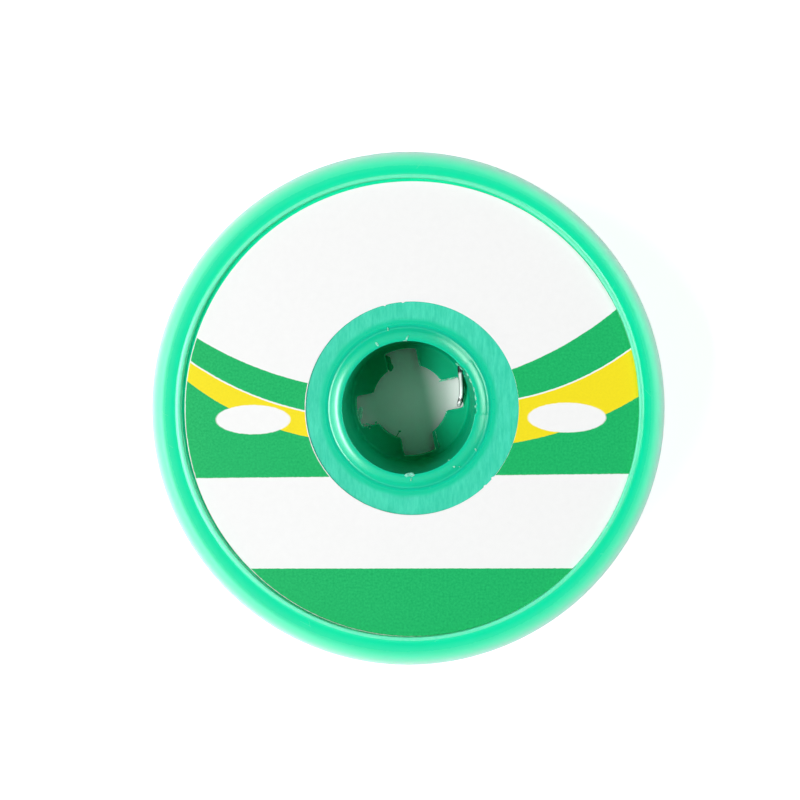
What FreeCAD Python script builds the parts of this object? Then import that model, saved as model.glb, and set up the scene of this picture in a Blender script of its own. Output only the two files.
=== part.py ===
"""Small reel of flux-cored solder wire, in millimetres.

The reel lies flat. +Z runs up along its axis, and the origin is the centre of
the plane that it stands on. The lower moulding holds the hub tube, the lower
flange and the keyed web across the bottom of the bore. The upper flange is
pushed over the tube's end, down to a shoulder, and a rounded lip holds it.
The wire is wound on the tube between the flanges. Its start comes through a
slanted hole in the tube's wall into the bore, just above the web.
"""

import FreeCAD, Part
import math
import os

from FreeCAD import Vector

# Flanges: a thin plate with a raised rim round a recessed face
flange_r = 27.5
plate_t = 1.2
rim_raise = 0.6
recess_r = 24.7
recess_foot_round = 0.25
ridge_round = 0.25
crown_w = 1.6
crown_drop = 1.1
inner_edge_round = 0.5

# Hub tube, with the shoulder and the lip that hold the upper flange
channel_h = 11.4
drum_r = 9.2
spigot_r = 8.6
bore_r = 7.1
lip_raise = 0.5
lip_bead = 0.15
lip_inner_round = 0.6
lip_outer_round = 0.4
spigot_clear = 0.05
lip_clear = 0.05
flange_hole_round = 0.15
foot_lift = 0.1
foot_round = 0.3

# Keyed web across the bottom of the bore, blended into the bore by a taper
web_lift = 0.5
web_t = 1.0
web_hole_r = 4.35
web_round = 0.9
taper_h = 3.0
taper_in = 0.25
notch_count = 4
notch_w = 3.65
notch_r = 6.2
notch_turn_deg = 11.0

# Label, stuck slightly off centre
label_edge_clear = 0.4
label_hole_r = 11.4
label_t = 0.15
label_shift_x = 0.38
label_shift_y = -0.07

# Wire and winding
wire_d = 0.6
flux_d = 0.2
flux_clear = 0.005
winding_clear = 0.05
winding_end_gap = 0.1
layer_count = 4
layer_nesting = 0.85
turn_gap = 0.46
free_end_deg = 305.0

# Start tail: how far its points lie inside the bore's radius, along Y and above the web
tail_exit_inset = 1.30
tail_bow_inset = 1.15
tail_tip_inset = 1.48
tail_bow_y = 1.70
tail_tip_y = -0.55
tail_entry_rise = 2.10
tail_exit_rise = 1.80
tail_bow_rise = 1.10
tail_tip_rise = 0.80
tail_bend_share = 0.45
tail_hole_clear = 0.15
tail_hole_past = 1.0

# Tape tab over the wire's free end
tape_t = 0.1
tape_w = 4.0
tape_clear = 0.05
tape_edge_gap = 0.15
tape_before_end_deg = 48.0
tape_past_end_deg = 14.0

# Heights and radii that follow from the sizes above
lower_floor_z = rim_raise
lower_inner_z = lower_floor_z + plate_t
upper_inner_z = lower_inner_z + channel_h
upper_floor_z = upper_inner_z + plate_t
lip_top_z = upper_floor_z + lip_raise
web_top_z = web_lift + web_t
wire_r = wire_d / 2
winding_in_r = drum_r + winding_clear
outer_turn_r = winding_in_r + wire_r + (layer_count - 1) * layer_nesting * wire_d
core_out_r = outer_turn_r - wire_r - winding_clear

steps_per_turn = 4
tiny = 1e-6


def unit(vector):
    return vector * (1 / vector.Length)


def line(start, end):
    return Part.LineSegment(start, end).toShape()


def arc_by_corner(start, corner, end):
    """The arc that touches the lines start-corner and corner-end at its ends."""
    chord_mid = (start + end) * 0.5
    cos_half = (start - chord_mid).Length / (start - corner).Length
    middle = chord_mid + (corner - chord_mid) * (cos_half / (1 + cos_half))
    return Part.Arc(start, middle, end).toShape()


def biarc(p0, dir0, p1, dir1):
    """Two tangent arcs that leave p0 along dir0 and reach p1 along dir1."""
    span = p1 - p0
    along = span.dot(dir0 + dir1)
    spread = 2 * (1 - dir0.dot(dir1))
    reach = (math.sqrt(along * along + spread * span.dot(span)) - along) / spread
    corner0 = p0 + dir0 * reach
    corner1 = p1 - dir1 * reach
    joint = (corner0 + corner1) * 0.5
    return [arc_by_corner(p0, corner0, joint), arc_by_corner(joint, corner1, p1)]


def sharp(r, z):
    """An outline corner that stays sharp."""
    return (r, z, 0, 0)


def rounded(r, z, setback):
    """An outline corner rounded over the same length before and after it."""
    return (r, z, setback, setback)


def outline(corners):
    """Closed edges in the XZ plane through corners of (r, z, before, after)."""
    points = [Vector(r, 0, z) for r, z, before, after in corners]
    following = points[1:] + points[:1]
    spans = []
    for i, (r, z, before, after) in enumerate(corners):
        start = points[i] + unit(points[i - 1] - points[i]) * before
        end = points[i] + unit(following[i] - points[i]) * after
        spans.append((start, end))
    edges = []
    for i, (start, end) in enumerate(spans):
        last_end = spans[i - 1][1]
        if (start - last_end).Length > tiny:
            edges.append(line(last_end, start))
        before, after = corners[i][2:]
        if before == 0:
            continue
        if before == after:
            edges.append(arc_by_corner(start, points[i], end))
        else:
            edges += biarc(start, unit(points[i] - start), end, unit(end - points[i]))
    return edges


def revolve(corners):
    """Turn a closed outline in the XZ plane about the Z axis."""
    face = Part.Face(Part.Wire(outline(corners)))
    return face.revolve(Vector(0, 0, 0), Vector(0, 0, 1), 360)


def ring(r_out, r_in, z_low, z_high, span_deg=360):
    outer = Part.makeCylinder(r_out, z_high - z_low, Vector(0, 0, z_low), Vector(0, 0, 1), span_deg)
    inner = Part.makeCylinder(r_in, z_high - z_low, Vector(0, 0, z_low))
    return outer.cut(inner)


def pipe(edges, diameter):
    """A round solid swept along joined edges, square at both ends."""
    path = Part.Wire(edges)
    first = edges[0]
    start = first.valueAt(first.FirstParameter)
    heading = first.tangentAt(first.FirstParameter)
    section = Part.Wire(Part.makeCircle(diameter / 2, start, heading))
    shell = Part.BRepOffsetAPI.MakePipeShell(path)
    shell.add(section)
    shell.build()
    shell.makeSolid()
    return shell.shape()


def rim_corners(floor_z, side):
    """A flange's corners from its recessed face, over the rim, to its inner face.

    side is 1 where the recessed face looks up and -1 where it looks down.
    """
    top_z = floor_z + side * rim_raise
    inner_z = floor_z - side * plate_t
    half_wall = rim_raise / 2
    return [
        rounded(recess_r, floor_z, min(recess_foot_round, half_wall)),
        rounded(recess_r, top_z, min(ridge_round, half_wall)),
        (flange_r, top_z, crown_w, crown_drop),
        rounded(flange_r, inner_z, inner_edge_round),
    ]


def hub_and_lower_flange():
    lip_r = spigot_r + lip_bead
    lip_low_z = upper_floor_z + lip_clear
    web_end_z = web_top_z + web_round
    corners = rim_corners(lower_floor_z, -1) + [
        sharp(drum_r, lower_inner_z),
        sharp(drum_r, upper_inner_z),
        sharp(spigot_r, upper_inner_z),
        sharp(spigot_r, lip_low_z),
        sharp(lip_r, lip_low_z),
        rounded(lip_r, lip_top_z, lip_outer_round),
        rounded(bore_r, lip_top_z, lip_inner_round),
        sharp(bore_r, web_end_z + taper_h),
        rounded(bore_r - taper_in, web_top_z, web_round),
        sharp(web_hole_r, web_top_z),
        sharp(web_hole_r, web_lift),
        sharp(bore_r, web_lift),
        rounded(bore_r, foot_lift, foot_round),
        rounded(spigot_r, foot_lift, foot_round),
        sharp(spigot_r, lower_floor_z),
    ]
    return revolve(corners).cut(notches()).cut(tail_hole())


def notches():
    """The drive notches, as one cutter that passes through the web."""
    depth = web_top_z + web_round
    bars = []
    for i in range(notch_count):
        bar = Part.makeBox(notch_r, notch_w, depth, Vector(0, -notch_w / 2, 0))
        bar.rotate(Vector(0, 0, 0), Vector(0, 0, 1), notch_turn_deg + i * 360 / notch_count)
        bars.append(bar)
    cross = bars[0].fuse(bars[1:])
    return cross.common(Part.makeCylinder(notch_r, depth))


def upper_flange():
    hole_r = spigot_r + spigot_clear
    corners = rim_corners(upper_floor_z, 1) + [
        sharp(hole_r, upper_inner_z),
        rounded(hole_r, upper_floor_z, flange_hole_round),
    ]
    return revolve(corners)


def front_label():
    label = ring(recess_r - label_edge_clear, label_hole_r, upper_floor_z, upper_floor_z + label_t)
    label.translate(Vector(label_shift_x, label_shift_y, 0))
    return label


def tail_points():
    """Corners of the start tail, from outside the drum to the cut tip."""
    exit_x = bore_r - tail_exit_inset
    exit_y = math.sqrt(bore_r ** 2 - exit_x ** 2)
    entry_y = math.sqrt(drum_r ** 2 - exit_x ** 2) + wire_d
    bow_x = bore_r - tail_bow_inset
    tip_x = bore_r - tail_tip_inset
    return [
        Vector(exit_x, entry_y, web_top_z + tail_entry_rise),
        Vector(exit_x, exit_y, web_top_z + tail_exit_rise),
        Vector(bow_x, tail_bow_y, web_top_z + tail_bow_rise),
        Vector(tip_x, tail_tip_y, web_top_z + tail_tip_rise),
    ]


def bent_path(points):
    """Straight runs joined by tangent arcs, each as large as its two runs allow."""
    edges = []
    last_end = points[0]
    for before, here, after in zip(points, points[1:], points[2:]):
        setback = tail_bend_share * min((here - before).Length, (after - here).Length)
        start = here + unit(before - here) * setback
        end = here + unit(after - here) * setback
        edges.append(line(last_end, start))
        edges.append(arc_by_corner(start, here, end))
        last_end = end
    edges.append(line(last_end, points[-1]))
    return edges


def tail_hole():
    """The slanted hole that the wire's start comes through."""
    entry, leave = tail_points()[:2]
    heading = unit(leave - entry)
    start = entry - heading * tail_hole_past
    length = (leave - entry).Length + 2 * tail_hole_past
    return Part.makeCylinder(wire_r + tail_hole_clear, length, start, heading)


def within_drum(shape):
    """Trim the tail's outer end where the innermost layer takes over."""
    return shape.common(Part.makeCylinder(drum_r, upper_inner_z))


def wire_start_tail():
    path = bent_path(tail_points())
    sleeve = pipe(path, wire_d).cut(pipe(path, flux_d + 2 * flux_clear))
    return within_drum(sleeve)


def tail_flux_core():
    return within_drum(pipe(bent_path(tail_points()), flux_d))


def wire_inner_layers():
    low = lower_inner_z + winding_clear
    high = upper_inner_z - winding_clear
    return ring(core_out_r, winding_in_r, low, high)


def helix_point(angle, start_z, pitch):
    """Place and heading on the outer layer, which goes down as it turns."""
    place = Vector(
        outer_turn_r * math.cos(angle),
        outer_turn_r * math.sin(angle),
        start_z - pitch * angle / (2 * math.pi),
    )
    heading = Vector(
        -outer_turn_r * math.sin(angle),
        outer_turn_r * math.cos(angle),
        -pitch / (2 * math.pi),
    )
    return place, unit(heading)


def outer_layer_angles():
    """Angles of the outer layer's points, from its start to the free end."""
    room = channel_h - 2 * winding_end_gap - wire_d
    step_count = int(steps_per_turn * room / (wire_d + turn_gap) + tiny)
    end = math.radians(free_end_deg)
    step = 2 * math.pi / steps_per_turn
    return [end - (step_count - i) * step for i in range(step_count + 1)]


def outer_layer_places(angles):
    pitch = wire_d + turn_gap
    top_z = upper_inner_z - winding_end_gap - wire_r
    start_z = top_z + pitch * angles[0] / (2 * math.pi)
    return [helix_point(angle, start_z, pitch) for angle in angles]


def wire_outer_layer():
    places = outer_layer_places(outer_layer_angles())
    first, first_heading = places[0]
    last, last_heading = places[-1]
    edges = [line(first - first_heading * wire_d, first)]
    for (p0, dir0), (p1, dir1) in zip(places, places[1:]):
        edges += biarc(p0, dir0, p1, dir1)
    edges.append(line(last, last + last_heading * wire_d))
    return pipe(edges, wire_d)


def outer_layer_gap():
    """Least gap between two turns, measured on points along the centre line."""
    ends = outer_layer_angles()
    fine = 24
    count = (len(ends) - 1) * fine
    angles = [ends[0] + (ends[-1] - ends[0]) * i / count for i in range(count + 1)]
    points = [place for place, heading in outer_layer_places(angles)]
    half_turn = fine * steps_per_turn // 2
    least = min(
        (points[i] - points[j]).Length
        for i in range(len(points))
        for j in range(i + half_turn, min(i + 3 * half_turn, len(points)))
    )
    return least - wire_d


def end_tape():
    in_r = outer_turn_r + wire_r + tape_clear
    low = lower_inner_z + tape_edge_gap
    tab = ring(in_r + tape_t, in_r, low, low + tape_w, tape_before_end_deg + tape_past_end_deg)
    tab.rotate(Vector(0, 0, 0), Vector(0, 0, 1), free_end_deg - tape_before_end_deg)
    return tab


def main():
    nodes = {
        "hub_and_lower_flange": hub_and_lower_flange(),
        "upper_flange": upper_flange(),
        "front_label": front_label(),
        "wire_inner_layers": wire_inner_layers(),
        "wire_outer_layer": wire_outer_layer(),
        "wire_start_tail": wire_start_tail(),
        "tail_flux_core": tail_flux_core(),
        "end_tape": end_tape(),
    }
    os.makedirs("parts", exist_ok=True)
    for name, shape in nodes.items():
        shape.exportStep(os.path.join("parts", name + ".step"))
        box = shape.BoundBox
        print(
            f"{name}: valid {shape.isValid()}, solids {len(shape.Solids)}, "
            f"volume {shape.Volume:.3f} mm3, z {box.ZMin:.2f} to {box.ZMax:.2f}"
        )
    print(f"least gap between the outer layer's turns: {outer_layer_gap():.3f} mm")
    radii = [edge.Curve.Radius for edge in bent_path(tail_points()) if hasattr(edge.Curve, "Radius")]
    print("start tail's bend radii: " + ", ".join(f"{radius:.2f}" for radius in radii) + " mm")


if __name__ == "__main__":
    main()
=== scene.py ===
"""Looks for a small reel of flux-cored solder wire, built round its CAD frame.

The file is laid out as an add-on and is run as a script. Everything is in
metres. The reel stands on z = 0 with its axis on +Z, and +Y points to the top
of its label.
"""

import math

import bmesh
import bpy
from bpy.props import FloatProperty, FloatVectorProperty, IntProperty, PointerProperty
from mathutils import Matrix, Vector, geometry, noise


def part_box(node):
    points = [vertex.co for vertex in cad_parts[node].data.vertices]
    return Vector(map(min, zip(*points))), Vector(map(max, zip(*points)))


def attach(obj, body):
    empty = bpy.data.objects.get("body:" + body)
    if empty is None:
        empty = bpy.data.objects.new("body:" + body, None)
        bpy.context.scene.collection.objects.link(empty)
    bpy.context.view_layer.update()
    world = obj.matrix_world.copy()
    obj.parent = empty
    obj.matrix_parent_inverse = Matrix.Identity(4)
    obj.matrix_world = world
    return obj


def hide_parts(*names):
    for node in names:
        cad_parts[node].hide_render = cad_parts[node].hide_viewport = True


bl_info = {
    "name": "Solder Wire Reel",
    "version": (1, 0, 0),
    "blender": (4, 5, 0),
    "location": "View3D > Sidebar > Solder Reel",
    "description": "Builds a small plastic reel of solder wire with its label, winding and start tail",
    "category": "Object",
}

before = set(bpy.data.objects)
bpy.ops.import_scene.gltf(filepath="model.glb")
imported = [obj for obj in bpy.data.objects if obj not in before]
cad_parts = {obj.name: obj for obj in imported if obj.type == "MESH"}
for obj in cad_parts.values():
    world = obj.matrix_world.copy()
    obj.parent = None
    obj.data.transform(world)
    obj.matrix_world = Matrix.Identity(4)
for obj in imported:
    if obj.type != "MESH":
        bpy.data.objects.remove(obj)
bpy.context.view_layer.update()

MM = 0.001
TINY = 0.0005 * MM
FULL_TURN = 2 * math.pi
WHITE = (1.0, 1.0, 1.0, 1.0)

# A turned ring has this many steps. It is made of equal sectors.
ROUND_STEPS = 480
SECTORS = 16

UPPER_LOW, UPPER_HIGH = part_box("upper_flange")
HUB_LOW, HUB_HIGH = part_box("hub_and_lower_flange")
LABEL_LOW, LABEL_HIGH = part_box("front_label")
TURNS_LOW, TURNS_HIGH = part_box("wire_outer_layer")
TAPE_LOW, TAPE_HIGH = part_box("end_tape")

FLOOR_Z = LABEL_LOW.z
INNER_Z = UPPER_LOW.z
TOP_Z = UPPER_HIGH.z
LIP_Z = HUB_HIGH.z
LABEL_CENTRE = (LABEL_LOW + LABEL_HIGH) / 2
LABEL_RADIUS = (LABEL_HIGH.x - LABEL_LOW.x) / 2
LABEL_HOLE = 11.4 * MM

# The hole in the bore's wall that the start tail comes through. Between the two
# heights the wall has close rows of faces.
WIRE_HOLE = Vector((5.93, 3.86, 4.2)) * MM
HOLE_LOW = 2.2 * MM
HOLE_HIGH = 6.6 * MM

# A recess and its ridge stand off the axis. Up to the first radius all of the rim is
# shifted with them, and from the second radius on nothing is.
RECESS_CENTRE = Vector((0.16, 0.11, 0.0)) * MM
SHIFTED_UNTIL = 25.3 * MM
UNMOVED_FROM = 26.5 * MM
RIDGE_MIDDLE = 24.61 * MM


def length(name, description, default):
    """A length property in metres, shown in the scene's unit."""
    return FloatProperty(
        name=name, description=description, default=default, min=0.0, unit="LENGTH", precision=5
    )


def rotation(name, description, degrees):
    """An angle property, given in degrees."""
    return FloatProperty(
        name=name, description=description, default=math.radians(degrees), subtype="ANGLE"
    )


def colour(name, description, default):
    """A linear colour property."""
    return FloatVectorProperty(
        name=name, description=description, default=default, subtype="COLOR", size=3, min=0, max=1
    )


def position(name, description, default):
    """A place property in metres."""
    return FloatVectorProperty(
        name=name, description=description, default=default, subtype="TRANSLATION", precision=5
    )


class ReelSizes(bpy.types.PropertyGroup):
    """Sizes of the two plastic mouldings."""

    flange_radius: length("Flange Radius", "Outer radius of both flanges", UPPER_HIGH.x)
    recess_radius: length("Recess Radius", "Radius of the recessed face inside a rim", 24.47 * MM)
    ridge_round: length("Ridge Round", "Rounding of a rim's inner edge", 0.12 * MM)
    ridge_width: length("Ridge Width", "Width of the ridge round the recess", 0.32 * MM)
    ridge_slope: length("Ridge Slope", "Width of the slope from ridge to valley", 0.2 * MM)
    valley_width: length("Valley Width", "Width of the valley's floor", 0.3 * MM)
    valley_round: length("Valley Round", "Rounding of the valley's inner corner", 0.1 * MM)
    valley_drop: length("Valley Drop", "Depth of the valley between ridge and crown", 0.07 * MM)
    crown_width: length("Crown Width", "How far in the rim's outer rounding reaches", 1.6 * MM)
    crown_drop: length("Crown Drop", "How far down the rim's outer rounding reaches", 1.1 * MM)
    back_round: length("Back Round", "Rounding of a flange's edge towards the wire", 0.5 * MM)
    drum_radius: length("Drum Radius", "Radius that the wire is wound on", 9.2 * MM)
    spigot_radius: length("Spigot Radius", "Radius that the upper flange sits on", 8.6 * MM)
    spigot_gap: length("Spigot Gap", "Gap between the spigot and the upper flange", 0.05 * MM)
    lip_radius: length("Lip Radius", "Outer radius of the lip over the upper flange", 8.75 * MM)
    lip_crest: length("Lip Crest", "Where the lip's flat top turns down", 7.82 * MM)
    lip_foot: length("Lip Foot", "Where the lip's slope ends in a fillet", 8.52 * MM)
    bore_radius: length("Bore Radius", "Radius of the straight bore", 7.1 * MM)
    bore_taper: length("Bore Taper", "How much narrower the bore is at the web", 0.25 * MM)
    taper_height: length("Taper Height", "Height of the bore's narrowing stretch", 3.9 * MM)
    matte_start: length("Matte Start", "Where the brushed part of a recessed face starts", 8.95 * MM)
    matte_end: length("Matte End", "Where the brushed part of a recessed face ends", 23.6 * MM)
    web_top: length("Web Top", "Height of the web's upper face", 1.5 * MM)
    web_thickness: length("Web Thickness", "Thickness of the web across the bore", 1.0 * MM)
    web_hole_radius: length("Web Hole Radius", "Radius of the round hole in the web", 4.35 * MM)
    notch_width: length("Notch Width", "Width of a drive notch", 3.65 * MM)
    notch_reach: length("Notch Reach", "Radius that a drive notch reaches out to", 6.2 * MM)
    notch_turn: rotation("Notch Turn", "Angle of the first drive notch from +X", 11)
    notch_count: IntProperty(
        name="Notches", description="Number of drive notches", default=4, min=1, max=8
    )


class LabelSizes(bpy.types.PropertyGroup):
    """Sizes of the printed sticker ring."""

    thickness: length("Thickness", "Thickness of the sticker", 0.11 * MM)
    lift: length("Lift", "Gap between the sticker and the recessed face", 0.005 * MM)
    waviness: length("Waviness", "How unevenly the sticker lies", 0.012 * MM)
    hole_lift: length("Hole Lift", "How far the sticker is lifted at its hole", 0.02 * MM)
    margin: length("Margin", "Width of the bare paper at the sticker's edges", 0.04 * MM)


class WindingSizes(bpy.types.PropertyGroup):
    """Sizes of the wire and of its winding."""

    wire_diameter: length("Wire Diameter", "Diameter of the solder wire", 0.6 * MM)
    flux_diameter: length("Flux Diameter", "Diameter of the flux core", 0.2 * MM)
    pitch: length("Pitch", "Height from one turn to the next", 0.66 * MM)
    top_gap: length("Top Gap", "Gap between the top turn and the upper flange", 0.06 * MM)
    wander: length("Wander", "How unevenly the turns lie", 0.035 * MM)
    free_end: rotation("Free End", "Angle at which the outer layer ends", 305)
    tape_before: rotation("Tape Start", "How far before the free end the tape starts", 48)
    tape_span: rotation("Tape Span", "Angle that the tape covers", 62)
    tape_thickness: length("Tape Thickness", "Thickness of the tape", 0.05 * MM)
    layers: IntProperty(
        name="Layers", description="Number of layers of wire", default=4, min=1, max=8
    )
    seed: IntProperty(name="Seed", description="Start of the uneven winding", default=7)


class FinishColours(bpy.types.PropertyGroup):
    """Colours of the reel, its label and its wire."""

    plastic: colour("Plastic", "Colour of the plastic at the hub", (0.001, 0.61, 0.34))
    rim: colour("Rim", "Colour of the plastic at the rims", (0.001, 0.82, 0.42))
    # Pale painted sheen on the crowns, and the pale of the ridge, which is partly wear and partly
    # painted highlight.
    sheen_and_wear_pale: colour("Thin Edge", "Colour of the plastic where a rim thins out", (0.77, 1.0, 0.95))
    # Darker than the hub's plastic: painted shade down the bore.
    plastic_bore_shade: colour("Plastic Deep", "Colour of the plastic in the bore", (0.0, 0.48, 0.24))
    matte_face: colour("Matte Face", "Colour of the brushed recessed faces", (0.043, 0.65, 0.44))
    burr: colour("Burr", "Colour of stretched, whitened plastic", (0.4, 0.85, 0.66))
    paper: colour("Paper", "Colour of the bare label", (0.895, 0.9, 0.895))
    print_green: colour("Print Green", "Green of the label's bands", (0.0036, 0.435, 0.122))
    print_yellow: colour("Print Yellow", "Yellow of the label's bands", (0.9, 0.75, 0.015))
    ink: colour("Ink", "Colour of stray specks of ink", (0.03, 0.03, 0.04))
    solder: colour("Solder", "Colour of the solder wire", (0.78, 0.78, 0.79))
    # Near-black painted shade on the start tail, at its flanks, the hole and before the tip.
    tail_shade_colour: colour("Oxide", "Colour of the tarnish on the start tail", (0.02, 0.03, 0.025))
    flux: colour("Flux", "Colour of the flux core", (0.62, 0.36, 0.09))
    bubble: colour("Bubble", "Colour of the bubbles in the flux", (1.0, 0.9, 0.7))
    tape: colour("Tape", "Colour of the tape tab", (0.95, 0.87, 0.56))


class StageSettings(bpy.types.PropertyGroup):
    """Camera, lamps and floor."""

    camera_place: position("Camera Place", "Where the camera stands", (1.86 * MM, 7.4 * MM, 165 * MM))
    camera_aim: position("Camera Aim", "What the camera looks at", (2.66 * MM, 10.9 * MM, 15 * MM))
    camera_lens: FloatProperty(
        name="Lens", description="Focal length in millimetres", default=63.25, min=1.0
    )
    shift_right: FloatProperty(
        name="Shift Right", description="Sideways shift of the frame, as a share of it", default=-0.0419
    )
    shift_up: FloatProperty(
        name="Shift Up", description="Upward shift of the frame, as a share of it", default=-0.1183
    )
    left_level: FloatProperty(
        name="Left Lamp", description="Share of white that the left lamp gives the floor", default=0.78
    )
    right_level: FloatProperty(
        name="Right Lamp", description="Share of white that the right lamp gives the floor", default=0.18
    )
    zenith_level: FloatProperty(
        name="Zenith", description="Strength of the surroundings overhead", default=0.08
    )
    horizon_level: FloatProperty(
        name="Horizon", description="Strength of the surroundings at the horizon", default=0.58
    )


class Net:
    """Adds nodes to one node tree and joins them by socket."""

    def __init__(self, tree):
        self.tree = tree

    def add(self, kind, sockets=None, **settings):
        """A new node with its settings made and its input sockets set or linked."""
        node = self.tree.nodes.new(kind)
        for name, value in settings.items():
            setattr(node, name, value)
        for key, value in (sockets or {}).items():
            if isinstance(value, bpy.types.NodeSocket):
                self.tree.links.new(value, node.inputs[key])
            else:
                node.inputs[key].default_value = value
        return node

    def maths(self, operation, *values, clamp=False):
        """The result of a Math node."""
        sockets = dict(enumerate(values))
        return self.add("ShaderNodeMath", sockets, operation=operation, use_clamp=clamp).outputs[0]

    def scaled(self, value, share, base=0.0):
        """A value times a share, on top of a base."""
        return self.maths("MULTIPLY_ADD", value, share, base)

    def larger(self, *values):
        """The largest of some values."""
        largest = values[0]
        for value in values[1:]:
            largest = self.maths("MAXIMUM", largest, value)
        return largest

    def gap(self, value, middle):
        """How far a value is from a middle value."""
        return self.maths("ABSOLUTE", self.maths("SUBTRACT", value, middle))

    def remap(self, value, from_low, from_high, to_low=0.0, to_high=1.0):
        """A value moved from one range to another and held inside it."""
        sockets = {0: value, 1: from_low, 2: from_high, 3: to_low, 4: to_high}
        return self.add("ShaderNodeMapRange", sockets).outputs[0]

    def vector(self, operation, *values):
        """The result of a Vector Math node."""
        node = self.add("ShaderNodeVectorMath", dict(enumerate(values)), operation=operation)
        return node.outputs["Value"] if operation in ("LENGTH", "DOT_PRODUCT") else node.outputs[0]

    def split(self, vector):
        """The x, y and z of a vector."""
        return self.add("ShaderNodeSeparateXYZ", {0: vector}).outputs

    def flat(self, place):
        """A place moved down to z = 0."""
        return self.vector("MULTIPLY", place, (1.0, 1.0, 0.0))

    def off_axis(self, place):
        """How far a place is from the reel's axis."""
        return self.vector("LENGTH", self.flat(place))

    def mix(self, factor, first, second):
        """A colour between two colours."""
        node = self.add("ShaderNodeMix", {0: factor, 6: first, 7: second}, data_type="RGBA")
        return node.outputs[2]

    def mix_vectors(self, factor, first, second):
        """A vector between two vectors."""
        node = self.add("ShaderNodeMix", {0: factor, 4: first, 5: second}, data_type="VECTOR")
        return node.outputs[1]

    def object_place(self):
        """The place on the piece, in metres."""
        return self.add("ShaderNodeTexCoord").outputs["Object"]

    def normal(self):
        """The way that the surface faces."""
        return self.add("ShaderNodeNewGeometry").outputs["Normal"]

    def effect(self, name, place, **values):
        """The value of a shared effect at a place, with its own settings."""
        sockets = {"Vector": place, **values}
        return self.add("ShaderNodeGroup", sockets, node_tree=effect_group(name)).outputs[0]

    def bump(self, height, distance, strength=1.0, normal=None):
        """A normal raised by a height between 0 and 1."""
        sockets = {"Height": height, "Distance": distance, "Strength": strength}
        if normal is not None:
            sockets["Normal"] = normal
        return self.add("ShaderNodeBump", sockets).outputs[0]

    def surface(self, sockets):
        """The material's shader, with its own sockets set or linked."""
        shader = self.add("ShaderNodeBsdfPrincipled", sockets)
        self.add("ShaderNodeOutputMaterial", {"Surface": shader.outputs[0]})


def rgba(value, share=1.0):
    """A share of a colour property, with full alpha."""
    return tuple(share * part for part in value) + (1.0,)


def fill_grain(net, given):
    """Soft uneven grain, as in paper, print and moulded plastic."""
    sockets = {"Vector": given["Vector"], "Scale": given["Scale"], "Detail": 3.0, "Roughness": 0.6}
    texture = net.add("ShaderNodeTexNoise", sockets)
    centred = net.maths("SUBTRACT", texture.outputs[0], 0.5)
    return net.maths("MULTIPLY_ADD", centred, given["Contrast"], 0.5, clamp=True)


def fill_scratches(net, given):
    """Thin, broken scratches in every direction."""
    bend = net.add("ShaderNodeTexNoise", {"Vector": given["Vector"], "Scale": 90.0, "Detail": 1.0})
    reach = (0.012, 0.012, 0.012)
    moved = net.vector("MULTIPLY_ADD", bend.outputs["Color"], reach, given["Vector"])
    sockets = {"Vector": moved, "Scale": given["Scale"]}
    cells = net.add("ShaderNodeTexVoronoi", sockets, feature="DISTANCE_TO_EDGE")
    line = net.maths("LESS_THAN", cells.outputs["Distance"], given["Width"])
    gaps = net.add("ShaderNodeTexNoise", {"Vector": given["Vector"], "Scale": 420.0, "Detail": 2.0})
    shown = net.maths("LESS_THAN", gaps.outputs[0], given["Amount"])
    return net.maths("MULTIPLY", line, shown)


def fill_specks(net, given):
    """Small scattered specks, as of dust or stray ink."""
    sockets = {"Vector": given["Vector"], "Scale": given["Scale"]}
    cells = net.add("ShaderNodeTexVoronoi", sockets, feature="F1")
    parts = net.add("ShaderNodeSeparateColor", {0: cells.outputs["Color"]})
    size = net.maths("MULTIPLY", parts.outputs[1], given["Size"])
    dot = net.maths("LESS_THAN", cells.outputs["Distance"], size)
    chosen = net.maths("LESS_THAN", parts.outputs[0], given["Amount"])
    return net.maths("MULTIPLY", dot, chosen)


def fill_streaks(net, given):
    """Long fine streaks, as of a brushed face or a drawn wire."""
    drawn = net.vector("MULTIPLY", given["Vector"], given["Across"])
    sockets = {"Vector": drawn, "Scale": given["Scale"], "Detail": 4.0, "Roughness": 0.65}
    return net.add("ShaderNodeTexNoise", sockets).outputs[0]


def fill_round_mask(net, given):
    """1 inside an upright ellipse in the XY plane, 0 outside, with a soft edge."""
    away = net.flat(net.vector("SUBTRACT", given["Vector"], given["Centre"]))
    share = net.vector("LENGTH", net.vector("DIVIDE", away, given["Extent"]))
    inside = net.maths("SUBTRACT", 1.0, share)
    return net.maths("MULTIPLY_ADD", inside, given["Sharpness"], 0.5, clamp=True)


# Each shared effect has the function that fills it, its vectors, its values and its output.
EFFECTS = {
    "Fine Grain": (fill_grain, ["Vector"], ["Scale", "Contrast"], "Value"),
    "Fine Scratches": (fill_scratches, ["Vector"], ["Scale", "Width", "Amount"], "Mask"),
    "Scattered Specks": (fill_specks, ["Vector"], ["Scale", "Size", "Amount"], "Mask"),
    "Fine Streaks": (fill_streaks, ["Vector", "Across"], ["Scale"], "Value"),
    "Round Mask": (fill_round_mask, ["Vector", "Centre", "Extent"], ["Sharpness"], "Mask"),
}


def effect_group(name):
    """The node group of a shared effect, which is made the first time it is asked for."""
    if name in bpy.data.node_groups:
        return bpy.data.node_groups[name]
    fill, vectors, values, output = EFFECTS[name]
    group = bpy.data.node_groups.new(name, "ShaderNodeTree")
    for label in vectors:
        group.interface.new_socket(name=label, in_out="INPUT", socket_type="NodeSocketVector")
    for label in values:
        group.interface.new_socket(name=label, in_out="INPUT", socket_type="NodeSocketFloat")
    group.interface.new_socket(name=output, in_out="OUTPUT", socket_type="NodeSocketFloat")
    net = Net(group)
    result = fill(net, net.add("NodeGroupInput").outputs)
    net.add("NodeGroupOutput", {output: result})
    return group


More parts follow.
